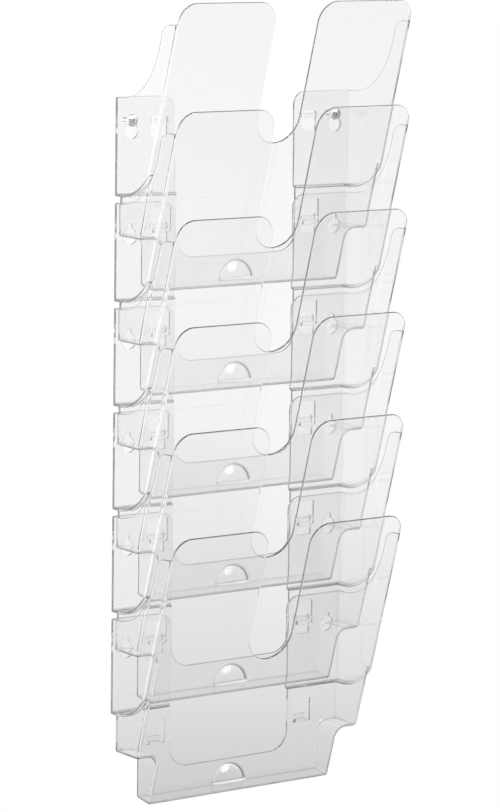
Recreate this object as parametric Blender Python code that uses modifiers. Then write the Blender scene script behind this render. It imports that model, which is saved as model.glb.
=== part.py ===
"""Wall brochure rack: six clear moulded pockets that hang in a chain, the top one on two wall screws.

Millimetres throughout, scaled to metres when a mesh is made. +X is the viewer's right, the front faces -Y,
the wall is the plane Y = 0 and +Z is up. The origin lies midway between the two wall screws.
Inside a pocket, heights are measured from the underside of its tray and depths forward from the wall.
"""

import math

import bmesh
import bpy
from mathutils import Matrix, Vector
from mathutils.geometry import interpolate_bezier

MM = 0.001

# The chain
POCKETS = 6
PITCH = 89.7
LIFT_GAP = 5.6  # between one pocket's flange and the top of the pocket below
SCREW_HEIGHT = 144.5  # of the wall screws above the top pocket's tray

# One pocket
WALL = 2.0
HALF_WIDTH = 123.5
NEST_HALF_WIDTH = 119.6  # where the pocket sits inside the one below
NEST_BACK = 2.5
TRAY_HALF_WIDTH = 97.8
TRAY_DEPTH = 22.6
TRAY_FLOOR_RISE = 3.0  # the floor falls this much towards the front
SHELF_HEIGHT = 46.0
SHELF_FILLET = 9.0
FRONT_SLOPE = 0.2916  # depth gained per millimetre of height
FOLD = 3.2  # outer radius of the fold between side wall and front panel
EAR_HEIGHT = 246.6
EAR_START = 45.0  # degrees round the fold where the ear rises from the side wall's rim
EAR_TOP_X = 105.7  # where its corner reaches the level top
EAR_INNER_CORNER = 18.1
NOTCH_HALF_WIDTH = 22.4
NOTCH_BOTTOM = 125.6
SIDE_FRONT_HEIGHT = 228.7
BACK_HEIGHT = 164.5
SIDE_CURVE = ((8.5, 164.5), (45.0, 164.5), (61.5, 195.5), (66.6, 219.0))  # Bezier: depth, height
SIDE_CORNER = ((66.6, 219.0), (67.7, 224.2), (71.6, 228.7), (79.6, 228.7))  # Bezier, convex
ARM_INNER = 63.5
ARM_CORNER = 12.0
BAND_HEIGHT = 26.4
BAND_CORNER = 18.0
CURVE_STEPS = 12
CORNER_STEPS = 5
EAR_STEPS = 8
FOLD_STEPS = 4

# Keyhole and hook window in each arm of the back
KEYHOLE_X = 107.0
KEYHOLE_SLOT_RADIUS = 2.6
KEYHOLE_RADIUS = 7.2
KEYHOLE_DROP = 9.0
WINDOW = (71.6, 86.9, 129.8, 147.4)
NEST_WINDOW = (69.3, 89.2, 49.5, 70.5)
STRAP = (69.9, 88.6, 141.8, 145.4)
STRAP_FRONT = 4.6
TONGUE = (73.5, 85.0)
TONGUE_SEAT = 51.8
TONGUE_TIP = 56.3
GATE_RADIUS = 19.0
GATE_BULGE = 3.6
GATE_CENTRE = 3.7
GATE_HOLLOW_FLOOR = 6.7

# Wall screw, pan head
HEAD_RADIUS = 5.4
HEAD_HEIGHT = 3.2
SHANK_RADIUS = 2.0
SHANK_LENGTH = 13.6
HEAD_SEAT = 2.4  # depth of the underside of the head
TURNED_SIDES = 32


def front_depth(height):
    return TRAY_DEPTH + FRONT_SLOPE * height


def point(x, depth, height):
    return Vector((x, -depth, height - SCREW_HEIGHT)) * MM


def arc(centre, radius, start, end, steps):
    """Points on an arc, both ends included; angles in degrees from the first axis."""
    turns = [math.radians(start + (end - start) * i / steps) for i in range(steps + 1)]
    return [(centre[0] + radius * math.cos(a), centre[1] + radius * math.sin(a)) for a in turns]


def bezier(knots, steps):
    first, handle_a, handle_b, last = (Vector((a, b, 0)) for a, b in knots)
    return [tuple(p[:2]) for p in interpolate_bezier(first, handle_a, handle_b, last, steps + 1)]


def side_top():
    """Top edge of a side wall from the back to the fold into the front panel, as (depth, height)."""
    curve = [(0.0, BACK_HEIGHT)] + bezier(SIDE_CURVE, CURVE_STEPS)
    curve += bezier(SIDE_CORNER, CORNER_STEPS)[1:]
    return curve + [(front_depth(SIDE_FRONT_HEIGHT) - FOLD, SIDE_FRONT_HEIGHT)]


def jog(back, short):
    """The step in the side wall, which follows the top edge of the pocket below, from `back` to a line that
    runs `short` of the front panel."""
    drop = PITCH - LIFT_GAP
    curve = [(back, BACK_HEIGHT - drop)]
    for depth, height in side_top()[1:]:
        before, now = curve[-1], (depth, height - drop)
        gap = front_depth(now[1]) - short - depth
        if gap > 0:
            curve.append(now)
            continue
        gap_before = front_depth(before[1]) - short - before[0]
        end = before[1] + gap_before / (gap_before - gap) * (now[1] - before[1])
        return curve + [(front_depth(end) - short, end)]
    raise ValueError("the step never reaches the front panel")


def half_silhouette():
    """Right half of the fillet and shelf seen from the front, as (x, height)."""
    centre = (TRAY_HALF_WIDTH + SHELF_FILLET, SHELF_HEIGHT - SHELF_FILLET)
    return arc(centre, SHELF_FILLET, 180, 90, CORNER_STEPS) + [(NEST_HALF_WIDTH, SHELF_HEIGHT)]


def ear_rim():
    """The ear's outer corner, as (distance along the surface from where it starts on the fold, height)."""
    run = FOLD * math.radians(90 - EAR_START) + HALF_WIDTH - FOLD - EAR_TOP_X
    quarter = arc((run, SIDE_FRONT_HEIGHT), 1.0, 180, 90, EAR_STEPS)
    rise = EAR_HEIGHT - SIDE_FRONT_HEIGHT
    return [(run * (1 + a - run), SIDE_FRONT_HEIGHT + rise * (b - SIDE_FRONT_HEIGHT)) for a, b in quarter]


def ear_height(angle):
    """Height of the rim on the fold, at an angle in degrees from the side wall."""
    along = FOLD * math.radians(max(angle - EAR_START, 0))
    run = ear_rim()[-1][0]
    return SIDE_FRONT_HEIGHT + (EAR_HEIGHT - SIDE_FRONT_HEIGHT) * math.sqrt(1 - (1 - along / run) ** 2)


def fold_angles():
    """Angles of the lines drawn along the fold, from 0 at the side wall to 90 at the front panel."""
    return [90 * i / FOLD_STEPS for i in range(FOLD_STEPS + 1)]


def on_fold(side, half_width, angles, heights):
    """Points on the rounded fold between a side wall and the front panel."""
    places = []
    for angle, height in zip(angles, heights):
        turn = math.radians(angle)
        x = half_width - FOLD * (1 - math.cos(turn))
        depth = front_depth(height) - FOLD * (1 - math.sin(turn))
        places.append(point(side * x, depth, height))
    return places


def half_front():
    """Right half of the front panel's outline, from the shelf to the bottom of the notch, as (x, height)."""
    kink = jog(0, 0)[-1][1]
    inner = (NOTCH_HALF_WIDTH + EAR_INNER_CORNER, EAR_HEIGHT - EAR_INNER_CORNER)
    notch = (0.0, NOTCH_BOTTOM + NOTCH_HALF_WIDTH)
    edge = HALF_WIDTH - FOLD
    on_panel = FOLD * math.radians(90 - EAR_START)
    outline = [(NEST_HALF_WIDTH - FOLD, kink), (edge, kink), (edge, ear_height(90))]
    outline += [(edge + on_panel - along, h) for along, h in ear_rim() if along > on_panel + 0.3]
    outline += arc(inner, EAR_INNER_CORNER, 90, 180, EAR_STEPS)
    outline += arc(notch, NOTCH_HALF_WIDTH, 0, -90, EAR_STEPS)
    return outline


def mirrored(half):
    """The outline continued over the left half, without repeating points on the middle line."""
    return half + [(-x, height) for x, height in reversed(half) if abs(x) > 1e-6]


class Skin:
    """A surface put together from flat faces whose corners are shared."""

    def __init__(self):
        self.mesh = bmesh.new()
        self.corners = {}

    def corner(self, place):
        key = tuple(round(c / MM, 3) for c in place)
        if key not in self.corners:
            self.corners[key] = self.mesh.verts.new(place)
        return self.corners[key]

    def face(self, places):
        loop = []
        for place in places:
            vertex = self.corner(place)
            if vertex not in loop:
                loop.append(vertex)
        return self.mesh.faces.new(loop) if len(loop) > 2 else None

    def strip(self, one, other):
        for i in range(len(one) - 1):
            self.face([one[i], one[i + 1], other[i + 1], other[i]])


def add_side(skin, side):
    """Arm, side wall with its step, fold into the front panel, shelf and tray end, on one side."""
    step_height = BACK_HEIGHT - PITCH + LIFT_GAP
    arm_corner = (ARM_INNER + ARM_CORNER, BACK_HEIGHT - ARM_CORNER)
    arm = [(HALF_WIDTH, step_height), (HALF_WIDTH, BACK_HEIGHT)]
    arm += arc(arm_corner, ARM_CORNER, 90, 180, CORNER_STEPS) + [(ARM_INNER, step_height)]
    skin.face([point(side * x, 0, h) for x, h in arm])
    skin.face([point(side * x, d, step_height) for x, d in
               ((ARM_INNER, 0), (HALF_WIDTH, 0), (NEST_HALF_WIDTH, NEST_BACK), (ARM_INNER, NEST_BACK))])

    outer, inner = jog(0, FOLD), jog(NEST_BACK, FOLD)
    skin.face([point(side * HALF_WIDTH, d, h) for d, h in side_top() + outer[::-1]])
    skin.strip([point(side * HALF_WIDTH, d, h) for d, h in outer],
               [point(side * NEST_HALF_WIDTH, d, h) for d, h in inner])
    shelf_line = [(front_depth(SHELF_HEIGHT) - FOLD, SHELF_HEIGHT), (NEST_BACK, SHELF_HEIGHT)]
    skin.face([point(side * NEST_HALF_WIDTH, d, h) for d, h in inner + shelf_line])

    angles = fold_angles()
    kinks = [jog(0, FOLD * (1 - math.sin(math.radians(angle))))[-1][1] for angle in angles]
    rim = on_fold(side, HALF_WIDTH, angles, [ear_height(angle) for angle in angles])
    step_out = on_fold(side, HALF_WIDTH, angles, kinks)
    step_in = on_fold(side, NEST_HALF_WIDTH, angles, kinks)
    foot = on_fold(side, NEST_HALF_WIDTH, angles, [SHELF_HEIGHT] * len(angles))
    skin.strip(rim, step_out)
    skin.strip(step_out, step_in)
    skin.strip(step_in, foot)

    fillet = half_silhouette()[:-1]
    skin.strip([point(side * x, NEST_BACK, h) for x, h in fillet],
               [point(side * x, front_depth(h), h) for x, h in fillet])
    inner_end = fillet[-1][0]
    shelf_back = [point(side * x, NEST_BACK, SHELF_HEIGHT) for x in (inner_end, NEST_HALF_WIDTH)]
    shelf_front = point(side * inner_end, front_depth(SHELF_HEIGHT), SHELF_HEIGHT)
    skin.face(shelf_back + foot + [shelf_front])
    fillet_start = SHELF_HEIGHT - SHELF_FILLET
    skin.face([point(side * TRAY_HALF_WIDTH, d, h) for d, h in
               ((NEST_BACK, TRAY_FLOOR_RISE), (TRAY_DEPTH, 0.0), (front_depth(fillet_start), fillet_start),
                (NEST_BACK, fillet_start))])


def pocket_skin():
    """The outside of a pocket as one surface, open at the top, the notch and the back."""
    skin = Skin()
    tray_half = [(TRAY_HALF_WIDTH, 0.0)] + half_silhouette()[:-1] + [(NEST_HALF_WIDTH - FOLD, SHELF_HEIGHT)]
    front_lower = [(-x, h) for x, h in reversed(tray_half)] + tray_half
    front = skin.face([point(x, front_depth(h), h) for x, h in front_lower + mirrored(half_front())])

    band = arc((ARM_INNER - BAND_CORNER, BAND_HEIGHT + BAND_CORNER), BAND_CORNER, 0, -90, CORNER_STEPS)
    step_height = BACK_HEIGHT - PITCH + LIFT_GAP
    nest_back = [(TRAY_HALF_WIDTH, TRAY_FLOOR_RISE)] + half_silhouette()
    nest_back += [(NEST_HALF_WIDTH, step_height), (ARM_INNER, step_height)] + band
    nest_back += [(-x, h) for x, h in reversed(nest_back)]
    skin.face([point(x, NEST_BACK, h) for x, h in nest_back])

    floor_back = (NEST_BACK, TRAY_FLOOR_RISE)
    floor_front = (TRAY_DEPTH, 0.0)
    skin.face([point(side * TRAY_HALF_WIDTH, *end) for side, end in
               ((-1, floor_back), (1, floor_back), (1, floor_front), (-1, floor_front))])
    for side in (-1, 1):
        add_side(skin, side)

    bmesh.ops.recalc_face_normals(skin.mesh, faces=skin.mesh.faces[:])
    if front.normal.y > 0:
        bmesh.ops.reverse_faces(skin.mesh, faces=skin.mesh.faces[:])
    return skin.mesh


def prism(mesh, outline, start, end, place):
    """Adds a closed prism: `place` turns an outline point and a distance along into a position."""
    lower = [mesh.verts.new(place(a, b, start)) for a, b in outline]
    upper = [mesh.verts.new(place(a, b, end)) for a, b in outline]
    faces = [mesh.faces.new(lower), mesh.faces.new(upper)]
    for i in range(len(outline)):
        j = (i + 1) % len(outline)
        faces.append(mesh.faces.new((lower[i], lower[j], upper[j], upper[i])))
    bmesh.ops.recalc_face_normals(mesh, faces=faces)


def rectangle(low_x, high_x, low_h, high_h):
    return [(low_x, low_h), (high_x, low_h), (high_x, high_h), (low_x, high_h)]


def keyhole():
    """Keyhole outline, a round head hole below a narrow slot with its centre at the origin."""
    spread = math.degrees(math.asin(KEYHOLE_SLOT_RADIUS / KEYHOLE_RADIUS))
    lower = arc((0, -KEYHOLE_DROP), KEYHOLE_RADIUS, 90 + spread, 450 - spread, 24)
    return lower + arc((0, 0), KEYHOLE_SLOT_RADIUS, 0, 180, 8)


def pocket_cuts():
    """Cutters for the two keyholes, the two hook windows and the two windows behind the hook tongues."""
    mesh = bmesh.new()
    for side in (-1, 1):
        across = [(side * KEYHOLE_X + x, SCREW_HEIGHT + h) for x, h in keyhole()]
        for outline in (across, rectangle(side * WINDOW[0], side * WINDOW[1], *WINDOW[2:])):
            prism(mesh, outline, -1.0, WALL + 1.0, lambda x, h, depth: point(x, depth, h))
        nest = rectangle(side * NEST_WINDOW[0], side * NEST_WINDOW[1], *NEST_WINDOW[2:])
        prism(mesh, nest, NEST_BACK - 1.0, NEST_BACK + WALL + 1.0, lambda x, h, depth: point(x, depth, h))
    return mesh


def keep_above(mesh, vertices, place, direction):
    """Cuts off what lies behind the plane from the body these vertices belong to, and closes the cut."""
    own = set(vertices)
    edges = [edge for edge in mesh.edges if edge.verts[0] in own]
    faces = [face for face in mesh.faces if face.verts[0] in own]
    cut = bmesh.ops.bisect_plane(mesh, geom=list(own) + edges + faces, dist=1e-6, clear_inner=True,
                                 plane_co=place, plane_no=direction)
    rim = [part for part in cut["geom_cut"] if isinstance(part, bmesh.types.BMEdge)]
    bmesh.ops.holes_fill(mesh, edges=rim)


def pocket_features():
    """The hook straps, the hook tongues and the moulding gate's dome."""
    mesh = bmesh.new()
    root = 1.0
    back = STRAP_FRONT - WALL
    first, last, low, high = STRAP
    staple = [(first, root), (first, STRAP_FRONT), (last, STRAP_FRONT), (last, root),
              (last - WALL, root), (last - WALL, back), (first + WALL, back), (first + WALL, root)]
    tongue = [(4.0, NEST_WINDOW[2] - 1.5), (4.0, TONGUE_SEAT), (2.0, TONGUE_SEAT), (2.0, TONGUE_TIP),
              (0.4, TONGUE_TIP), (0.4, NEST_WINDOW[2] - 1.5)]
    for side in (-1, 1):
        prism(mesh, staple, low, high, lambda x, depth, h: point(side * x, depth, h))
        prism(mesh, tongue, *TONGUE, lambda depth, h, x: point(side * x, depth, h))

    made = bmesh.ops.create_uvsphere(mesh, u_segments=24, v_segments=12, radius=1.0)["verts"]
    for vertex in made:
        x, y, z = vertex.co
        vertex.co = point(GATE_RADIUS * x, NEST_BACK + WALL - 0.5 - (GATE_BULGE + 0.5) * y,
                          GATE_CENTRE + GATE_RADIUS * z)
    keep_above(mesh, made, point(0, 0, GATE_CENTRE + 0.01), (0, 0, 1))
    half = [vertex for vertex in mesh.verts if abs(vertex.co.x) < 1.01 * GATE_RADIUS * MM]
    keep_above(mesh, half, point(0, NEST_BACK + WALL - 0.51, 0), (0, -1, 0))
    bmesh.ops.recalc_face_normals(mesh, faces=mesh.faces[:])
    return mesh


def gate_hollow():
    """Cutter for the hollow behind the dome, which leaves it about as thin as the wall."""
    mesh = bmesh.new()
    radius = GATE_RADIUS - WALL
    made = bmesh.ops.create_uvsphere(mesh, u_segments=24, v_segments=12, radius=1.0)["verts"]
    for vertex in made:
        x, y, z = vertex.co
        vertex.co = point(radius * x, NEST_BACK - 0.5 - (GATE_BULGE + 0.6) * y, GATE_CENTRE + radius * z)
    keep_above(mesh, made, point(0, 0, GATE_HOLLOW_FLOOR), (0, 0, 1))
    bmesh.ops.recalc_face_normals(mesh, faces=mesh.faces[:])
    return mesh


def object_from(name, mesh, collection):
    data = bpy.data.meshes.new(name)
    mesh.to_mesh(data)
    mesh.free()
    made = bpy.data.objects.new(name, data)
    collection.objects.link(made)
    return made


def boolean(target, other, operation):
    modifier = target.modifiers.new(operation.lower(), "BOOLEAN")
    modifier.operation = operation
    modifier.solver = "EXACT"
    modifier.object = other


def evaluated_mesh(source, name):
    """A fresh mesh holding what the source's modifiers make."""
    bpy.context.view_layer.update()
    graph = bpy.context.evaluated_depsgraph_get()
    mesh = bpy.data.meshes.new_from_object(source.evaluated_get(graph))
    mesh.name = name
    return mesh


def material(name, colour, **sockets):
    made = bpy.data.materials.new(name)
    made.use_nodes = True
    shader = made.node_tree.nodes["Principled BSDF"]
    shader.inputs["Base Color"].default_value = (*colour, 1)
    for socket, value in sockets.items():
        shader.inputs[socket.replace("_", " ")].default_value = value
    made.diffuse_color = (*colour, sockets.get("Alpha", 1))
    return made


def screw_mesh():
    """A pan-head screw turned about its axis, which is Y; the origin is in the wall plane."""
    top = HEAD_SEAT + HEAD_HEIGHT
    profile = [(0.0, top), (HEAD_RADIUS * 0.55, top - 0.15), (HEAD_RADIUS * 0.85, top - 0.8),
               (HEAD_RADIUS, top - 2.0), (HEAD_RADIUS, HEAD_SEAT), (SHANK_RADIUS, HEAD_SEAT),
               (SHANK_RADIUS, 5.0 - SHANK_LENGTH), (0.0, -SHANK_LENGTH)]
    mesh = bmesh.new()
    line = [mesh.verts.new((r * MM, -depth * MM, 0)) for r, depth in profile]
    edges = [mesh.edges.new(pair) for pair in zip(line, line[1:])]
    bmesh.ops.spin(mesh, geom=line + edges, cent=(0, 0, 0), axis=(0, 1, 0), angle=2 * math.pi,
                   steps=TURNED_SIDES, use_merge=True)
    bmesh.ops.remove_doubles(mesh, verts=mesh.verts[:], dist=1e-6)
    bmesh.ops.recalc_face_normals(mesh, faces=mesh.faces[:])
    return mesh


def recess_mesh():
    """Cutter for the cross recess in a screw head."""
    mesh = bmesh.new()
    top = HEAD_SEAT + HEAD_HEIGHT
    arm, half = 2.6, 0.55
    cross = [(half, half), (arm, half), (arm, -half), (half, -half), (half, -arm), (-half, -arm),
             (-half, -half), (-arm, -half), (-arm, half), (-half, half), (-half, arm), (half, arm)]
    prism(mesh, cross, top - 1.9, top + 1.0, lambda x, h, depth: Vector((x, -depth, h)) * MM)
    return mesh


for old in list(bpy.data.objects):
    bpy.data.objects.remove(old, do_unlink=True)

scene = bpy.context.scene
helpers = bpy.data.collections.new("helpers")
helpers.hide_render = True
scene.collection.children.link(helpers)

shell = object_from("pocket_shell", pocket_skin(), helpers)
cuts = object_from("pocket_cuts", pocket_cuts(), helpers)
features = object_from("pocket_features", pocket_features(), helpers)
hollow = object_from("gate_hollow", gate_hollow(), helpers)
screw = object_from("screw_blank", screw_mesh(), helpers)
recess = object_from("screw_recess", recess_mesh(), helpers)

thickness = shell.modifiers.new("wall", "SOLIDIFY")
thickness.thickness = WALL * MM
thickness.offset = -1
thickness.use_even_offset = True
thickness.use_quality_normals = True
boolean(shell, cuts, "DIFFERENCE")
boolean(shell, features, "UNION")
boolean(shell, hollow, "DIFFERENCE")
boolean(screw, recess, "DIFFERENCE")

for number in range(1, POCKETS + 1):
    name = f"pocket_{number}"
    mesh = evaluated_mesh(shell, name)
    mesh.materials.clear()
    mesh.materials.append(material(f"clear_polystyrene_{number}", (0.93, 0.95, 0.96), Roughness=0.06,
                                   IOR=1.59, Alpha=0.35))
    pocket = bpy.data.objects.new(name, mesh)
    pocket.location = (0, 0, -(number - 1) * PITCH * MM)
    scene.collection.objects.link(pocket)

for side, where in ((-1, "left"), (1, "right")):
    name = f"wall_screw_{where}"
    mesh = evaluated_mesh(screw, name)
    mesh.materials.clear()
    mesh.materials.append(material(f"zinc_plated_steel_{where}", (0.62, 0.62, 0.6), Metallic=1.0,
                                   Roughness=0.3))
    made = bpy.data.objects.new(name, mesh)
    made.location = (side * KEYHOLE_X * MM, 0, 0)
    scene.collection.objects.link(made)

for helper in helpers.objects:
    helper.hide_render = True
    helper.display_type = "WIRE"
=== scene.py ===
"""The looks of the wall brochure rack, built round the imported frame.

Each clear pocket is rebuilt here as a finer moulding with rounded folds and rims, and each wall screw with
its thread. Lengths are millimetres until `point` turns them into metres. Inside a pocket, heights are
measured from the underside of its tray and depths forward from the wall.
"""

import math

import bmesh
import bpy
from mathutils import Matrix, Vector
from mathutils.geometry import interpolate_bezier


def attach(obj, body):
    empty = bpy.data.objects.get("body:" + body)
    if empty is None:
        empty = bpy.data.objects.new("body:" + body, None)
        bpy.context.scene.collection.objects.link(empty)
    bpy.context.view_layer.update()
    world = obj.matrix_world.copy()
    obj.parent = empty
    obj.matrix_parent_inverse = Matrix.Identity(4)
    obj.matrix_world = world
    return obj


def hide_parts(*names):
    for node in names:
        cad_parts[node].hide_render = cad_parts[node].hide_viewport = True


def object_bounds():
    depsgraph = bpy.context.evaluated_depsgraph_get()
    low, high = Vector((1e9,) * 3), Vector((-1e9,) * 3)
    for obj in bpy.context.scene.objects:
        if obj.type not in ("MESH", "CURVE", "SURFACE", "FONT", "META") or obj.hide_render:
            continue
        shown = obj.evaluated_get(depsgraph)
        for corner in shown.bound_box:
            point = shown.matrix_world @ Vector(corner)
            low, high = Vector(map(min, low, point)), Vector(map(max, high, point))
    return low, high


MM = 0.001

# The moulding, as in the CAD
SCREW_HEIGHT = 144.5
PITCH = 89.7
LIFT_GAP = 5.6
WALL = 2.0
HALF_WIDTH = 123.5
NEST_HALF_WIDTH = 119.6
NEST_BACK = 2.5
TRAY_HALF_WIDTH = 97.8
TRAY_DEPTH = 22.6
TRAY_FLOOR_RISE = 3.0
SHELF_HEIGHT = 46.0
SHELF_FILLET = 9.0
FRONT_SLOPE = 0.2916
FOLD = 3.2
EAR_HEIGHT = 246.6
EAR_START = 45.0
EAR_TOP_X = 105.7
EAR_INNER_CORNER = 18.1
NOTCH_HALF_WIDTH = 22.4
NOTCH_BOTTOM = 125.6
SIDE_FRONT_HEIGHT = 228.7
BACK_HEIGHT = 164.5
SIDE_CURVE = ((8.5, 164.5), (45.0, 164.5), (61.5, 195.5), (66.6, 219.0))
SIDE_CORNER = ((66.6, 219.0), (67.7, 224.2), (71.6, 228.7), (79.6, 228.7))
ARM_INNER = 63.5
ARM_CORNER = 12.0
BAND_HEIGHT = 26.4
BAND_CORNER = 18.0
KEYHOLE_X = 107.0
KEYHOLE_SLOT_RADIUS = 2.6
KEYHOLE_RADIUS = 7.2
KEYHOLE_DROP = 9.0
WINDOW = (71.6, 86.9, 129.8, 147.4)
NEST_WINDOW = (69.3, 89.2, 49.5, 70.5)
STRAP = (69.9, 88.6, 141.8, 145.4)
STRAP_ROOT = 1.0
STRAP_FRONT = 4.6
TONGUE = (73.5, 85.0)
TONGUE_ROOT = 48.0
TONGUE_SEAT = 51.8
TONGUE_TIP = 56.3
TONGUE_DEPTHS = (0.4, 2.0, 4.0)  # back, front of the tip, front of the seat
GATE_RADIUS = 19.0
GATE_BULGE = 3.6
GATE_CENTRE = 3.7
GATE_ROOT = 0.5  # how far the dome's ellipsoid starts inside the band
GATE_SHELL = 1.9  # thickness at the dome's middle
GATE_HOLLOW_FLOOR = 6.7

# Finish of the moulding
CURVE_STEPS = 36
CORNER_STEPS = 12
EAR_STEPS = 16
FOLD_STEPS = 6
SHORTEST_EDGE = 0.3
TRAY_FOLD = 3.1
TRAY_FOLD_SEGMENTS = 5
RIM_ROUND = 0.9
RIM_SEGMENTS = 4
STEP_ROUND = 1.0
STEP_SEGMENTS = 4
HOOK_ROUND = 0.3
WINDOW_CORNER = 1.0
CUT_PAST = 1.0  # how far a cutter reaches past the wall on both sides

# Wall screw: depths from the wall, and radii
HEAD_RADIUS = 5.4
HEAD_HEIGHT = 3.2
HEAD_SEAT = 2.4
HEAD_EDGE = 0.7
HEAD_CHAMFER = 0.3
HEAD_ROUNDNESS = 0.8  # 1 is an elliptical dome, less is fuller at the edge
SHANK_RADIUS = 2.0
SHANK_LENGTH = 13.6
THREAD_CORE = 1.45
THREAD_DEPTH = 0.6
THREAD_PITCH = 1.5
THREAD_HALF_WIDTH = 0.35  # of the pitch
THREAD_START = -1.5
THREAD_RUN_OUT = 0.6
ROWS_PER_TURN = 8
SCREW_COLUMNS = 40
POINT_RADIUS = 0.05
TIP_LENGTH = 3.0
RECESS_HALF_LENGTH = 2.9
RECESS_HALF_WIDTH = 0.6
RECESS_DEPTH = 2.2
RECESS_TAPER = 0.4  # size at its floor against its mouth
RECESS_TURN = 20.0

# Camera: place in metres, then heading from +Y towards +X, tilt down and roll in degrees
CAMERA_PLACE = (-1.9086, -2.6328, 0.2280)
CAMERA_HEADING = 36.25
CAMERA_TILT = 8.41
CAMERA_ROLL = 0.784
CAMERA_LENS = 166.86

# Studio: the floor's size in metres, how bright the room is, with 1 for plain white, and the directions
# between which it changes, as the part of a unit vector that points up or down, to the back or to the right
FLOOR_GAP = 0.25
FLOOR_RADIUS = 34.0
RACK_MIDDLE = 0.35  # above the rack's lowest point
THROUGH_GLOW = 0.98
STEEP = (0.10, 0.70)
STEEP_GLOW = 0.55
BACKDROP = (0.1, 0.75)
BESIDE_GLOW = 0.7
FRONT_GLOW = 0.15
FRONT_STEEP = (0.15, 0.50)
FRONT_FLOOR_GLOW = 0.75
NEAR_FLOOR = (0.54, 0.66)
NEAR_FLOOR_DROP = 0.25
LEFT_SIDE = (-0.80, -0.62)
LEFT_GLOW = 1.8
WINDOW_DIRECTION = (0.352, -0.852, 0.388)
WINDOW_EDGE = (0.965, 0.990)  # cosine of the angle from its middle
WINDOW_GLOW = 8.0


def front_depth(height):
    return TRAY_DEPTH + FRONT_SLOPE * height


def point(x, depth, height):
    return Vector((x, -depth, height - SCREW_HEIGHT)) * MM


def arc(centre, radius, start, end, steps):
    """Points on an arc, both ends included; angles in degrees from the first axis."""
    turns = [math.radians(start + (end - start) * i / steps) for i in range(steps + 1)]
    return [(centre[0] + radius * math.cos(a), centre[1] + radius * math.sin(a)) for a in turns]


def bezier(knots, steps):
    first, handle_a, handle_b, last = (Vector((a, b, 0)) for a, b in knots)
    return [tuple(p[:2]) for p in interpolate_bezier(first, handle_a, handle_b, last, steps + 1)]


def side_top():
    """Top edge of a side wall from the back to the fold into the front panel, as (depth, height)."""
    curve = [(0.0, BACK_HEIGHT)] + bezier(SIDE_CURVE, CURVE_STEPS)
    curve += bezier(SIDE_CORNER, CORNER_STEPS)[1:]
    return curve + [(front_depth(SIDE_FRONT_HEIGHT) - FOLD, SIDE_FRONT_HEIGHT)]


def jog(back, short):
    """The step in the side wall, which follows the top edge of the pocket below, from `back` to a line that
    runs `short` of the front panel."""
    drop = PITCH - LIFT_GAP
    curve = [(back, BACK_HEIGHT - drop)]
    for depth, height in side_top()[1:]:
        before, now = curve[-1], (depth, height - drop)
        gap = front_depth(now[1]) - short - depth
        if gap > 0:
            curve.append(now)
            continue
        gap_before = front_depth(before[1]) - short - before[0]
        end = before[1] + gap_before / (gap_before - gap) * (now[1] - before[1])
        return curve + [(front_depth(end) - short, end)]
    raise ValueError("the step never reaches the front panel")


def half_silhouette():
    """Right half of the fillet and shelf seen from the front, as (x, height)."""
    centre = (TRAY_HALF_WIDTH + SHELF_FILLET, SHELF_HEIGHT - SHELF_FILLET)
    return arc(centre, SHELF_FILLET, 180, 90, CORNER_STEPS) + [(NEST_HALF_WIDTH, SHELF_HEIGHT)]


def ear_rim():
    """The ear's outer corner, as (distance along the surface from where it starts on the fold, height)."""
    run = FOLD * math.radians(90 - EAR_START) + HALF_WIDTH - FOLD - EAR_TOP_X
    quarter = arc((run, SIDE_FRONT_HEIGHT), 1.0, 180, 90, EAR_STEPS)
    rise = EAR_HEIGHT - SIDE_FRONT_HEIGHT
    return [(run * (1 + a - run), SIDE_FRONT_HEIGHT + rise * (b - SIDE_FRONT_HEIGHT)) for a, b in quarter]


def ear_height(angle):
    """Height of the rim on the fold, at an angle in degrees from the side wall."""
    along = FOLD * math.radians(max(angle - EAR_START, 0))
    run = ear_rim()[-1][0]
    return SIDE_FRONT_HEIGHT + (EAR_HEIGHT - SIDE_FRONT_HEIGHT) * math.sqrt(1 - (1 - along / run) ** 2)


def fold_angles():
    """Angles of the lines drawn along the fold, from 0 at the side wall to 90 at the front panel."""
    return [90 * i / FOLD_STEPS for i in range(FOLD_STEPS + 1)]


def on_fold(side, half_width, angles, heights):
    """Points on the rounded fold between a side wall and the front panel."""
    places = []
    for angle, height in zip(angles, heights):
        turn = math.radians(angle)
        x = half_width - FOLD * (1 - math.cos(turn))
        depth = front_depth(height) - FOLD * (1 - math.sin(turn))
        places.append(point(side * x, depth, height))
    return places


def half_front():
    """Right half of the front panel's outline, from the shelf to the bottom of the notch, as (x, height)."""
    kink = jog(0, 0)[-1][1]
    inner = (NOTCH_HALF_WIDTH + EAR_INNER_CORNER, EAR_HEIGHT - EAR_INNER_CORNER)
    notch = (0.0, NOTCH_BOTTOM + NOTCH_HALF_WIDTH)
    edge = HALF_WIDTH - FOLD
    on_panel = FOLD * math.radians(90 - EAR_START)
    outline = [(NEST_HALF_WIDTH - FOLD, kink), (edge, kink), (edge, ear_height(90))]
    outline += [(edge + on_panel - along, h) for along, h in ear_rim() if along > on_panel + SHORTEST_EDGE]
    outline += arc(inner, EAR_INNER_CORNER, 90, 180, EAR_STEPS)
    outline += arc(notch, NOTCH_HALF_WIDTH, 0, -90, EAR_STEPS)
    return outline


def mirrored(half):
    """The outline continued over the left half, without repeating points on the middle line."""
    return half + [(-x, height) for x, height in reversed(half) if abs(x) > 1e-6]


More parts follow.
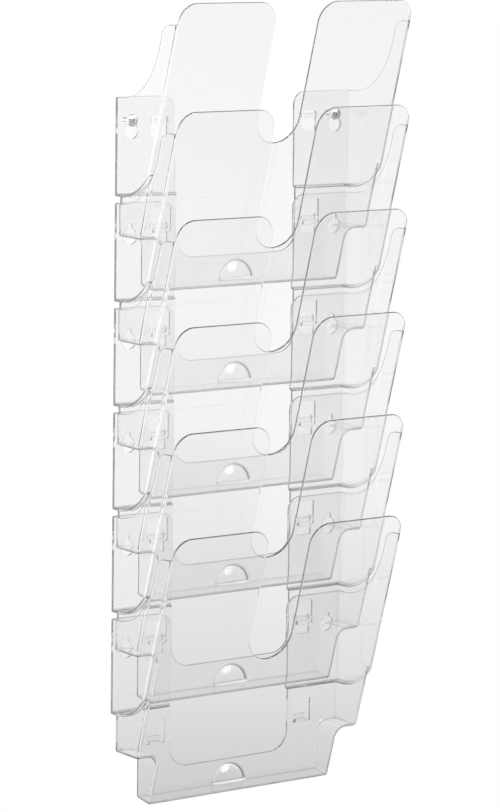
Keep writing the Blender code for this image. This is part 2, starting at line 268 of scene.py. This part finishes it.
class Skin:
    """A surface put together from flat faces whose corners are shared."""

    def __init__(self):
        self.mesh = bmesh.new()
        self.corners = {}

    def corner(self, place):
        key = tuple(round(c / MM, 3) for c in place)
        if key not in self.corners:
            self.corners[key] = self.mesh.verts.new(place)
        return self.corners[key]

    def face(self, places):
        loop = []
        for place in places:
            vertex = self.corner(place)
            if vertex not in loop:
                loop.append(vertex)
        return self.mesh.faces.new(loop) if len(loop) > 2 else None

    def strip(self, one, other):
        for i in range(len(one) - 1):
            self.face([one[i], one[i + 1], other[i + 1], other[i]])


def add_side(skin, side):
    """Arm, side wall with its step, fold into the front panel, shelf and tray end, on one side."""
    step_height = BACK_HEIGHT - PITCH + LIFT_GAP
    arm_corner = (ARM_INNER + ARM_CORNER, BACK_HEIGHT - ARM_CORNER)
    arm = [(HALF_WIDTH, step_height), (HALF_WIDTH, BACK_HEIGHT)]
    arm += arc(arm_corner, ARM_CORNER, 90, 180, CORNER_STEPS) + [(ARM_INNER, step_height)]
    skin.face([point(side * x, 0, h) for x, h in arm])
    skin.face([point(side * x, d, step_height) for x, d in
               ((ARM_INNER, 0), (HALF_WIDTH, 0), (NEST_HALF_WIDTH, NEST_BACK), (ARM_INNER, NEST_BACK))])

    outer, inner = jog(0, FOLD), jog(NEST_BACK, FOLD)
    skin.face([point(side * HALF_WIDTH, d, h) for d, h in side_top() + outer[::-1]])
    skin.strip([point(side * HALF_WIDTH, d, h) for d, h in outer],
               [point(side * NEST_HALF_WIDTH, d, h) for d, h in inner])
    shelf_line = [(front_depth(SHELF_HEIGHT) - FOLD, SHELF_HEIGHT), (NEST_BACK, SHELF_HEIGHT)]
    skin.face([point(side * NEST_HALF_WIDTH, d, h) for d, h in inner + shelf_line])

    angles = fold_angles()
    kinks = [jog(0, FOLD * (1 - math.sin(math.radians(angle))))[-1][1] for angle in angles]
    rim = on_fold(side, HALF_WIDTH, angles, [ear_height(angle) for angle in angles])
    step_out = on_fold(side, HALF_WIDTH, angles, kinks)
    step_in = on_fold(side, NEST_HALF_WIDTH, angles, kinks)
    foot = on_fold(side, NEST_HALF_WIDTH, angles, [SHELF_HEIGHT] * len(angles))
    skin.strip(rim, step_out)
    skin.strip(step_out, step_in)
    skin.strip(step_in, foot)

    fillet = half_silhouette()[:-1]
    skin.strip([point(side * x, NEST_BACK, h) for x, h in fillet],
               [point(side * x, front_depth(h), h) for x, h in fillet])
    inner_end = fillet[-1][0]
    shelf_back = [point(side * x, NEST_BACK, SHELF_HEIGHT) for x in (inner_end, NEST_HALF_WIDTH)]
    shelf_front = point(side * inner_end, front_depth(SHELF_HEIGHT), SHELF_HEIGHT)
    skin.face(shelf_back + foot + [shelf_front])
    fillet_start = SHELF_HEIGHT - SHELF_FILLET
    skin.face([point(side * TRAY_HALF_WIDTH, d, h) for d, h in
               ((NEST_BACK, TRAY_FLOOR_RISE), (TRAY_DEPTH, 0.0), (front_depth(fillet_start), fillet_start),
                (NEST_BACK, fillet_start))])


def pocket_skin():
    """The outside of a pocket as one surface, open at the top, the notch and the back."""
    skin = Skin()
    tray_half = [(TRAY_HALF_WIDTH, 0.0)] + half_silhouette()[:-1] + [(NEST_HALF_WIDTH - FOLD, SHELF_HEIGHT)]
    front_lower = [(-x, h) for x, h in reversed(tray_half)] + tray_half
    front = skin.face([point(x, front_depth(h), h) for x, h in front_lower + mirrored(half_front())])

    band = arc((ARM_INNER - BAND_CORNER, BAND_HEIGHT + BAND_CORNER), BAND_CORNER, 0, -90, CORNER_STEPS)
    step_height = BACK_HEIGHT - PITCH + LIFT_GAP
    nest_back = [(TRAY_HALF_WIDTH, TRAY_FLOOR_RISE)] + half_silhouette()
    nest_back += [(NEST_HALF_WIDTH, step_height), (ARM_INNER, step_height)] + band
    nest_back += [(-x, h) for x, h in reversed(nest_back)]
    skin.face([point(x, NEST_BACK, h) for x, h in nest_back])

    floor_back = (NEST_BACK, TRAY_FLOOR_RISE)
    floor_front = (TRAY_DEPTH, 0.0)
    skin.face([point(side * TRAY_HALF_WIDTH, *end) for side, end in
               ((-1, floor_back), (1, floor_back), (1, floor_front), (-1, floor_front))])
    for side in (-1, 1):
        add_side(skin, side)

    bmesh.ops.recalc_face_normals(skin.mesh, faces=skin.mesh.faces[:])
    if front.normal.y > 0:
        bmesh.ops.reverse_faces(skin.mesh, faces=skin.mesh.faces[:])
    folds = [edge for edge in skin.mesh.edges if is_tray_fold(edge)]
    soften(skin.mesh, folds, TRAY_FOLD, TRAY_FOLD_SEGMENTS)
    return skin.mesh


def bend_and_top(edge):
    """Angle in degrees between an edge's faces, and the height of its upper end in its pocket."""
    top = max(vertex.co.z for vertex in edge.verts) / MM + SCREW_HEIGHT
    return math.degrees(edge.calc_face_angle(0)), top


def is_tray_fold(edge):
    """True on the folds round the tray and the shelves."""
    bend, top = bend_and_top(edge)
    return bend > 50 and top < SHELF_HEIGHT + 0.1


def is_step_edge(edge):
    """True on the edges of the steps in the side walls and under the arms, and up the back corners."""
    bend, top = bend_and_top(edge)
    return 45 < bend < 100 and top > SHELF_HEIGHT + 10


def soften(mesh, edges, radius, segments):
    bmesh.ops.bevel(mesh, geom=edges, offset=radius * MM, segments=segments, profile=0.5, affect="EDGES",
                    clamp_overlap=False)


def prism(mesh, outline, start, end, place):
    """Adds a closed prism: `place` turns an outline point and a distance along into a position."""
    lower = [mesh.verts.new(place(a, b, start)) for a, b in outline]
    upper = [mesh.verts.new(place(a, b, end)) for a, b in outline]
    faces = [mesh.faces.new(lower), mesh.faces.new(upper)]
    for i in range(len(outline)):
        j = (i + 1) % len(outline)
        faces.append(mesh.faces.new((lower[i], lower[j], upper[j], upper[i])))
    bmesh.ops.recalc_face_normals(mesh, faces=faces)


def rounded_rectangle(low_x, high_x, low_h, high_h, radius):
    corners = (((high_x - radius, high_h - radius), 0), ((low_x + radius, high_h - radius), 90),
               ((low_x + radius, low_h + radius), 180), ((high_x - radius, low_h + radius), 270))
    return [p for centre, start in corners for p in arc(centre, radius, start, start + 90, 4)]


def keyhole():
    """Keyhole outline, a round head hole below a narrow slot with its centre at the origin."""
    spread = math.degrees(math.asin(KEYHOLE_SLOT_RADIUS / KEYHOLE_RADIUS))
    lower = arc((0, -KEYHOLE_DROP), KEYHOLE_RADIUS, 90 + spread, 450 - spread, 36)
    return lower + arc((0, 0), KEYHOLE_SLOT_RADIUS, 0, 180, 12)


def pocket_cuts():
    """Cutters for the two keyholes, the two hook windows and the two windows behind the hook tongues."""
    mesh = bmesh.new()
    for side in (-1, 1):
        across = [(side * KEYHOLE_X + x, SCREW_HEIGHT + h) for x, h in keyhole()]
        window = [(side * x, h) for x, h in rounded_rectangle(*WINDOW, WINDOW_CORNER)]
        nest = [(side * x, h) for x, h in rounded_rectangle(*NEST_WINDOW, WINDOW_CORNER)]
        for outline, back in ((across, 0.0), (window, 0.0), (nest, NEST_BACK)):
            ends = (back - CUT_PAST, back + WALL + CUT_PAST)
            prism(mesh, outline, *ends, lambda x, h, depth: point(x, depth, h))
    return mesh


def keep_above(mesh, vertices, place, direction):
    """Cuts off what lies behind the plane from the body these vertices belong to, and closes the cut."""
    own = set(vertices)
    edges = [edge for edge in mesh.edges if edge.verts[0] in own]
    faces = [face for face in mesh.faces if face.verts[0] in own]
    cut = bmesh.ops.bisect_plane(mesh, geom=list(own) + edges + faces, dist=1e-6, clear_inner=True,
                                 plane_co=place, plane_no=direction)
    rim = [part for part in cut["geom_cut"] if isinstance(part, bmesh.types.BMEdge)]
    bmesh.ops.holes_fill(mesh, edges=rim)


def pocket_features():
    """The hook straps, the hook tongues and the moulding gate's dome."""
    mesh = bmesh.new()
    back = STRAP_FRONT - WALL
    first, last, low, high = STRAP
    staple = [(first, STRAP_ROOT), (first, STRAP_FRONT), (last, STRAP_FRONT), (last, STRAP_ROOT),
              (last - WALL, STRAP_ROOT), (last - WALL, back),
              (first + WALL, back), (first + WALL, STRAP_ROOT)]
    rear, tip_front, seat_front = TONGUE_DEPTHS
    tongue = [(seat_front, TONGUE_ROOT), (seat_front, TONGUE_SEAT), (tip_front, TONGUE_SEAT),
              (tip_front, TONGUE_TIP), (rear, TONGUE_TIP), (rear, TONGUE_ROOT)]
    for side in (-1, 1):
        prism(mesh, staple, low, high, lambda x, depth, h: point(side * x, depth, h))
        prism(mesh, tongue, *TONGUE, lambda depth, h, x: point(side * x, depth, h))
    bmesh.ops.bevel(mesh, geom=mesh.edges[:], offset=HOOK_ROUND * MM, segments=2, profile=0.5,
                    affect="EDGES")

    middle = NEST_BACK + WALL - GATE_ROOT
    made = ellipsoid(mesh, GATE_RADIUS, middle, GATE_BULGE + GATE_ROOT)
    keep_above(mesh, made, point(0, 0, GATE_CENTRE + 0.01), (0, 0, 1))
    dome = [vertex for vertex in mesh.verts if abs(vertex.co.x) < 1.01 * GATE_RADIUS * MM]
    keep_above(mesh, dome, point(0, middle - 0.01, 0), (0, -1, 0))
    bmesh.ops.recalc_face_normals(mesh, faces=mesh.faces[:])
    return mesh


def ellipsoid(mesh, radius, middle, bulge):
    """Adds an ellipsoid round the gate's centre, with its middle at a depth and reaching `bulge` forward."""
    made = bmesh.ops.create_uvsphere(mesh, u_segments=48, v_segments=24, radius=1.0)["verts"]
    for vertex in made:
        x, y, z = vertex.co
        vertex.co = point(radius * x, middle - bulge * y, GATE_CENTRE + radius * z)
    return made


def gate_hollow():
    """Cutter for the hollow behind the dome, which leaves it about as thin as the wall."""
    mesh = bmesh.new()
    bulge = WALL + GATE_BULGE + GATE_ROOT - GATE_SHELL
    made = ellipsoid(mesh, GATE_RADIUS - WALL, NEST_BACK - GATE_ROOT, bulge)
    keep_above(mesh, made, point(0, 0, GATE_HOLLOW_FLOOR), (0, 0, 1))
    bmesh.ops.recalc_face_normals(mesh, faces=mesh.faces[:])
    return mesh


def object_from(name, mesh):
    data = bpy.data.meshes.new(name)
    mesh.to_mesh(data)
    mesh.free()
    made = bpy.data.objects.new(name, data)
    bpy.context.scene.collection.objects.link(made)
    return made


def evaluated_mesh(source, name):
    """A fresh mesh holding what the source's modifiers make."""
    bpy.context.view_layer.update()
    graph = bpy.context.evaluated_depsgraph_get()
    mesh = bpy.data.meshes.new_from_object(source.evaluated_get(graph))
    mesh.name = name
    return mesh


def with_solidify(source):
    thickness = source.modifiers.new("wall", "SOLIDIFY")
    thickness.thickness = WALL * MM
    thickness.offset = -1
    thickness.use_even_offset = True
    thickness.use_quality_normals = True
    return evaluated_mesh(source, "walled")


def with_booleans(source, steps):
    for other, operation in steps:
        modifier = source.modifiers.new(operation.lower(), "BOOLEAN")
        modifier.operation = operation
        modifier.solver = "EXACT"
        modifier.object = other
    return evaluated_mesh(source, "finished")


def soften_rims(walled, skin_faces):
    """Rounds the rims almost to half circles, and the steps and back corners a little. Solidify puts the
    outside first, then the inside, then the rims."""
    work = bmesh.new()
    work.from_mesh(walled)
    work.faces.ensure_lookup_table()
    rims = set(work.faces[2 * skin_faces:])
    soften(work, [edge for edge in work.edges if sum(face in rims for face in edge.link_faces) == 1],
           RIM_ROUND, RIM_SEGMENTS)
    soften(work, [edge for edge in work.edges if is_step_edge(edge)], STEP_ROUND, STEP_SEGMENTS)
    work.to_mesh(walled)
    work.free()


def pocket_mesh():
    """The finished moulding: skin, wall thickness, softened rims, then the cuts, the hooks and the dome."""
    skin = object_from("skin", pocket_skin())
    walled = with_solidify(skin)
    soften_rims(walled, len(skin.data.polygons))
    blank = bpy.data.objects.new("blank", walled)
    bpy.context.scene.collection.objects.link(blank)
    cuts = object_from("cuts", pocket_cuts())
    features = object_from("features", pocket_features())
    hollow = object_from("hollow", gate_hollow())
    mesh = with_booleans(blank, ((cuts, "DIFFERENCE"), (features, "UNION"), (hollow, "DIFFERENCE")))
    for helper in (skin, blank, cuts, features, hollow):
        bpy.data.objects.remove(helper, do_unlink=True)
    for polygon in mesh.polygons:
        polygon.use_smooth = True
    mesh.set_sharp_from_angle(angle=math.radians(32))
    return mesh


def screw_rows():
    """The screw from its tip to the top of its head, as (depth, radius, how much thread)."""
    threaded_length = THREAD_START + SHANK_LENGTH
    steps = round(threaded_length / THREAD_PITCH * ROWS_PER_TURN)
    rows = [(-SHANK_LENGTH, POINT_RADIUS, 0.0)]
    for i in range(1, steps + 1):
        along = threaded_length * i / steps
        grown = min(1.0, along / TIP_LENGTH)
        rows.append((along - SHANK_LENGTH, THREAD_CORE * grown, min(grown, (steps - i) / ROWS_PER_TURN)))
    rows += [(THREAD_START + THREAD_RUN_OUT, SHANK_RADIUS, 0.0), (HEAD_SEAT, SHANK_RADIUS, 0.0)]
    rows += [(HEAD_SEAT, HEAD_RADIUS - HEAD_CHAMFER, 0.0), (HEAD_SEAT + HEAD_CHAMFER, HEAD_RADIUS, 0.0)]
    for across, up in arc((0, 0), 1.0, 0, 88, 14):
        depth = HEAD_SEAT + HEAD_EDGE + (HEAD_HEIGHT - HEAD_EDGE) * up
        rows.append((depth, POINT_RADIUS + (HEAD_RADIUS - POINT_RADIUS) * across ** HEAD_ROUNDNESS, 0.0))
    return rows


def thread_height(depth, turn):
    """Height of the thread's ridge above the core, at a depth and an angle in turns."""
    phase = (depth / THREAD_PITCH - turn) % 1.0
    return THREAD_DEPTH * max(0.0, 1 - abs(phase - 0.5) / THREAD_HALF_WIDTH)


def screw_mesh(x):
    """A pan-head wood screw without its cross recess, pointing into the wall."""
    mesh = bmesh.new()
    rings = []
    for depth, radius, threaded in screw_rows():
        ring = []
        for i in range(SCREW_COLUMNS):
            turn = i / SCREW_COLUMNS
            reach = radius + threaded * thread_height(depth, turn)
            ring.append(mesh.verts.new(point(x + reach * math.cos(math.tau * turn), depth,
                                             SCREW_HEIGHT + reach * math.sin(math.tau * turn))))
        rings.append(ring)
    for lower, upper in zip(rings, rings[1:]):
        for i in range(SCREW_COLUMNS):
            j = (i + 1) % SCREW_COLUMNS
            mesh.faces.new((lower[i], lower[j], upper[j], upper[i]))
    mesh.faces.new(rings[0])
    mesh.faces.new(rings[-1])
    bmesh.ops.recalc_face_normals(mesh, faces=mesh.faces[:])
    return mesh


def recess_mesh(x):
    """Cutter for the cross recess, which narrows towards its floor."""
    mesh = bmesh.new()
    a, b = RECESS_HALF_LENGTH, RECESS_HALF_WIDTH
    arm = [(a, b), (b, b), (b, a)]
    cross = arm + [(-u, v) for u, v in reversed(arm)]
    cross += [(-u, -v) for u, v in cross]
    top = HEAD_SEAT + HEAD_HEIGHT + 0.5
    floor = HEAD_SEAT + HEAD_HEIGHT - RECESS_DEPTH

    def place(across, up, depth):
        narrow = RECESS_TAPER + (1 - RECESS_TAPER) * (depth - floor) / (top - floor)
        return point(x + across * narrow, depth, SCREW_HEIGHT + up * narrow)

    prism(mesh, cross, floor, top, place)
    bmesh.ops.rotate(mesh, verts=mesh.verts[:], cent=point(x, 0, SCREW_HEIGHT),
                     matrix=Matrix.Rotation(math.radians(RECESS_TURN), 3, "Y"))
    return mesh


def screw_object(name, x):
    blank = object_from("blank", screw_mesh(x))
    recess = object_from("recess", recess_mesh(x))
    mesh = with_booleans(blank, ((recess, "DIFFERENCE"),))
    for helper in (blank, recess):
        bpy.data.objects.remove(helper, do_unlink=True)
    for polygon in mesh.polygons:
        polygon.use_smooth = True
    mesh.set_sharp_from_angle(angle=math.radians(40))
    made = bpy.data.objects.new(name, mesh)
    bpy.context.scene.collection.objects.link(made)
    return made


def node_material(name):
    made = bpy.data.materials.new(name)
    made.use_nodes = True
    tree = made.node_tree
    return made, tree, tree.nodes["Principled BSDF"]


def clear_plastic():
    """Clear polystyrene: glossy and faintly grey, with a slightly uneven surface and fine handling marks."""
    made, tree, shader = node_material("clear_polystyrene")
    nodes, links = tree.nodes, tree.links
    shader.inputs["Base Color"].default_value = (1, 1, 1, 1)
    shader.inputs["Transmission Weight"].default_value = 1.0
    shader.inputs["IOR"].default_value = 1.59
    where = nodes.new("ShaderNodeTexCoord")
    marks = nodes.new("ShaderNodeTexNoise")
    marks.inputs["Scale"].default_value = 260.0
    marks.inputs["Detail"].default_value = 4.0
    roughness = nodes.new("ShaderNodeMapRange")
    roughness.inputs["From Min"].default_value = 0.35
    roughness.inputs["From Max"].default_value = 0.75
    roughness.inputs["To Min"].default_value = 0.015
    roughness.inputs["To Max"].default_value = 0.06
    waves = nodes.new("ShaderNodeTexNoise")
    waves.inputs["Scale"].default_value = 14.0
    waves.inputs["Detail"].default_value = 1.0
    bump = nodes.new("ShaderNodeBump")
    bump.inputs["Strength"].default_value = 0.08
    bump.inputs["Distance"].default_value = 0.002
    links.new(where.outputs["Object"], marks.inputs["Vector"])
    links.new(marks.outputs["Fac"], roughness.inputs["Value"])
    links.new(roughness.outputs["Result"], shader.inputs["Roughness"])
    links.new(where.outputs["Object"], waves.inputs["Vector"])
    links.new(waves.outputs["Fac"], bump.inputs["Height"])
    links.new(bump.outputs["Normal"], shader.inputs["Normal"])
    absorption = nodes.new("ShaderNodeVolumeAbsorption")
    absorption.inputs["Color"].default_value = (0.02, 0.04, 0.05, 1)
    absorption.inputs["Density"].default_value = 5.0
    links.new(absorption.outputs["Volume"], nodes["Material Output"].inputs["Volume"])
    return made


def zinc_plate():
    """Bright zinc on steel: fine brushed grain and slightly uneven gloss."""
    made, tree, shader = node_material("zinc_plated_steel")
    nodes, links = tree.nodes, tree.links
    shader.inputs["Metallic"].default_value = 1.0
    where = nodes.new("ShaderNodeTexCoord")
    grain = nodes.new("ShaderNodeTexNoise")
    grain.inputs["Scale"].default_value = 900.0
    grain.inputs["Detail"].default_value = 3.0
    tone = nodes.new("ShaderNodeValToRGB")
    tone.color_ramp.elements[0].color = (0.80, 0.80, 0.79, 1)
    tone.color_ramp.elements[1].color = (0.95, 0.95, 0.94, 1)
    gloss = nodes.new("ShaderNodeMapRange")
    gloss.inputs["To Min"].default_value = 0.30
    gloss.inputs["To Max"].default_value = 0.50
    bump = nodes.new("ShaderNodeBump")
    bump.inputs["Strength"].default_value = 0.15
    bump.inputs["Distance"].default_value = 0.0002
    links.new(where.outputs["Object"], grain.inputs["Vector"])
    links.new(grain.outputs["Fac"], tone.inputs["Fac"])
    links.new(tone.outputs["Color"], shader.inputs["Base Color"])
    links.new(grain.outputs["Fac"], gloss.inputs["Value"])
    links.new(gloss.outputs["Result"], shader.inputs["Roughness"])
    links.new(grain.outputs["Fac"], bump.inputs["Height"])
    links.new(bump.outputs["Normal"], shader.inputs["Normal"])
    return made


def add_camera():
    camera = bpy.data.objects.new("camera", bpy.data.cameras.new("camera"))
    camera.data.lens = CAMERA_LENS
    camera.data.clip_end = 60.0
    heading, tilt, roll = (math.radians(a) for a in (CAMERA_HEADING, CAMERA_TILT, CAMERA_ROLL))
    level = Vector((math.sin(heading), math.cos(heading), 0))
    forward = level * math.cos(tilt) - Vector((0, 0, math.sin(tilt)))
    right = Vector((math.cos(heading), -math.sin(heading), 0))
    up = right.cross(forward)
    rolled_right = right * math.cos(roll) + up * math.sin(roll)
    rolled_up = up * math.cos(roll) - right * math.sin(roll)
    turn = Matrix((rolled_right, rolled_up, -forward)).transposed()
    camera.matrix_world = Matrix.Translation(CAMERA_PLACE) @ turn.to_4x4()
    bpy.context.scene.collection.objects.link(camera)
    bpy.context.scene.camera = camera


def add_light(name, place, aim, size, power):
    """A soft rectangular lamp that shows neither to the camera nor through the plastic."""
    data = bpy.data.lights.new(name, "AREA")
    data.shape = "RECTANGLE"
    data.size, data.size_y = size
    data.energy = power
    light = bpy.data.objects.new(name, data)
    light.location = place
    light.rotation_mode = "QUATERNION"
    light.rotation_quaternion = (Vector(aim) - Vector(place)).to_track_quat("-Z", "Y")
    light.visible_camera = False
    light.visible_transmission = False
    bpy.context.scene.collection.objects.link(light)


def number_range(tree, value, low, high, at_low, at_high):
    """A Map Range node that eases a value between two ends; the result's socket."""
    node = tree.nodes.new("ShaderNodeMapRange")
    node.interpolation_type = "SMOOTHSTEP"
    for socket, number in zip(("From Min", "From Max", "To Min", "To Max"), (low, high, at_low, at_high)):
        node.inputs[socket].default_value = number
    tree.links.new(value, node.inputs["Value"])
    return node.outputs["Result"]


def calculation(tree, operation, *values):
    """A Math node working on sockets or numbers; the result's socket."""
    node = tree.nodes.new("ShaderNodeMath")
    node.operation = operation
    for socket, value in zip(node.inputs, values):
        if isinstance(value, float):
            socket.default_value = value
        else:
            tree.links.new(value, socket)
    return node.outputs["Value"]


def choice(tree, switch, when_off, when_on):
    """One value or the other, by a switch from 0 to 1."""
    node = tree.nodes.new("ShaderNodeMix")
    tree.links.new(switch, node.inputs["Factor"])
    for socket, value in zip(("A", "B"), (when_off, when_on)):
        if isinstance(value, float):
            node.inputs[socket].default_value = value
        else:
            tree.links.new(value, node.inputs[socket])
    return node.outputs["Result"]


def room_glow(tree, direction):
    """How bright the room is in a direction. The background itself is plain white. Through the plastic the
    room is near white level with the rack, and dimmer far above, far below and beside it. Mirrored light
    comes from a room that is white at the back, dim in front and pale on the floor. Light mirrored only once
    also sees a bright wall on the left and a small bright window in front."""
    split = tree.nodes.new("ShaderNodeSeparateXYZ")
    tree.links.new(direction, split.inputs["Vector"])
    steep = calculation(tree, "ABSOLUTE", split.outputs["Z"])
    level = number_range(tree, steep, *STEEP, THROUGH_GLOW, STEEP_GLOW)
    beyond = number_range(tree, split.outputs["Y"], *BACKDROP, BESIDE_GLOW, 1.0)
    seen_through = calculation(tree, "MULTIPLY", level, beyond)
    far_floor = number_range(tree, steep, *FRONT_STEEP, FRONT_GLOW, FRONT_FLOOR_GLOW)
    near_floor = number_range(tree, steep, *NEAR_FLOOR, 0.0, NEAR_FLOOR_DROP)
    front = calculation(tree, "SUBTRACT", far_floor, near_floor)
    to_back = number_range(tree, split.outputs["Y"], *BACKDROP, 0.0, 1.0)
    left = number_range(tree, split.outputs["X"], *LEFT_SIDE, LEFT_GLOW, 0.0)
    towards_window = tree.nodes.new("ShaderNodeVectorMath")
    towards_window.operation = "DOT_PRODUCT"
    towards_window.inputs[1].default_value = WINDOW_DIRECTION
    tree.links.new(direction, towards_window.inputs[0])
    window = number_range(tree, towards_window.outputs["Value"], *WINDOW_EDGE, 0.0, WINDOW_GLOW)
    rays = tree.nodes.new("ShaderNodeLightPath")
    mirrored_once = calculation(tree, "LESS_THAN", rays.outputs["Glossy Depth"], 1.5)
    bright = calculation(tree, "MULTIPLY", calculation(tree, "ADD", left, window), mirrored_once)
    mirrored_room = calculation(tree, "ADD", choice(tree, to_back, front, level), bright)
    lit = choice(tree, rays.outputs["Glossy Depth"], seen_through, mirrored_room)
    return choice(tree, rays.outputs["Is Camera Ray"], lit, 1.0)


def pale_floor():
    """Pale floor that glows white in the picture."""
    made, tree, shader = node_material("pale_floor")
    made.cycles.emission_sampling = "NONE"
    shader.inputs["Base Color"].default_value = (0, 0, 0, 1)
    shader.inputs["Roughness"].default_value = 0.9
    shader.inputs["Specular IOR Level"].default_value = 0.0
    shader.inputs["Emission Strength"].default_value = 1.0
    where = tree.nodes.new("ShaderNodeTexCoord")
    from_rack = tree.nodes.new("ShaderNodeVectorMath")
    from_rack.operation = "ADD"
    from_rack.inputs[1].default_value = (0, 0, -FLOOR_GAP - RACK_MIDDLE)
    direction = tree.nodes.new("ShaderNodeVectorMath")
    direction.operation = "NORMALIZE"
    tree.links.new(where.outputs["Object"], from_rack.inputs[0])
    tree.links.new(from_rack.outputs["Vector"], direction.inputs[0])
    tree.links.new(room_glow(tree, direction.outputs["Vector"]), shader.inputs["Emission Color"])
    return made


def soft_room():
    world = bpy.data.worlds.new("room")
    world.use_nodes = True
    world.cycles.sampling_method = "NONE"
    tree = world.node_tree
    where = tree.nodes.new("ShaderNodeTexCoord")
    tree.links.new(room_glow(tree, where.outputs["Generated"]), tree.nodes["Background"].inputs["Color"])
    bpy.context.scene.world = world


def add_studio(lowest):
    """A pale floor that reaches past the picture, a soft room and soft lights."""
    mesh = bmesh.new()
    bmesh.ops.create_circle(mesh, cap_ends=True, segments=96, radius=FLOOR_RADIUS)
    floor = object_from("floor", mesh)
    floor.location.z = lowest - FLOOR_GAP
    floor.data.materials.append(pale_floor())
    soft_room()
    add_light("key", (-1.6, -2.2, 2.4), (0, 0, -0.2), (1.2, 1.2), 60)
    add_light("fill", (2.4, -1.6, 1.2), (0, 0, -0.2), (0.8, 1.8), 25)


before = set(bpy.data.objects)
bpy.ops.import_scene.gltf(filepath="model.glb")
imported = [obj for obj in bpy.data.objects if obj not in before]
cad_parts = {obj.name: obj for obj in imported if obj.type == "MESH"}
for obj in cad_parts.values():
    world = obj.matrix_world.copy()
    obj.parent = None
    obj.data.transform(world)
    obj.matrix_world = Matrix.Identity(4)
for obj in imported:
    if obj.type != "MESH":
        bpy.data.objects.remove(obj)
cad_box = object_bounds()

plastic = clear_plastic()
zinc = zinc_plate()
moulding = pocket_mesh()
moulding.materials.clear()
moulding.materials.append(plastic)
pockets = sorted(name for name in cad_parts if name.startswith("pocket_"))
for index, name in enumerate(pockets):
    pocket = bpy.data.objects.new(f"clear_{name}", moulding)
    pocket.location.z = -index * PITCH * MM
    bpy.context.scene.collection.objects.link(pocket)
    normals = pocket.modifiers.new("flat faces stay flat", "WEIGHTED_NORMAL")
    normals.keep_sharp = True
    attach(pocket, name)
    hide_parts(name)

for name, x in (("wall_screw_left", -KEYHOLE_X), ("wall_screw_right", KEYHOLE_X)):
    screw = screw_object(f"zinc_{name}", x)
    screw.data.materials.clear()
    screw.data.materials.append(zinc)
    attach(screw, "pocket_1")
    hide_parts(name)

add_camera()
add_studio(cad_box[0].z)
scene = bpy.context.scene
scene.view_settings.view_transform = "Standard"
scene.cycles.max_bounces = 96
scene.cycles.transmission_bounces = 96
scene.cycles.glossy_bounces = 96
scene.cycles.transparent_max_bounces = 96
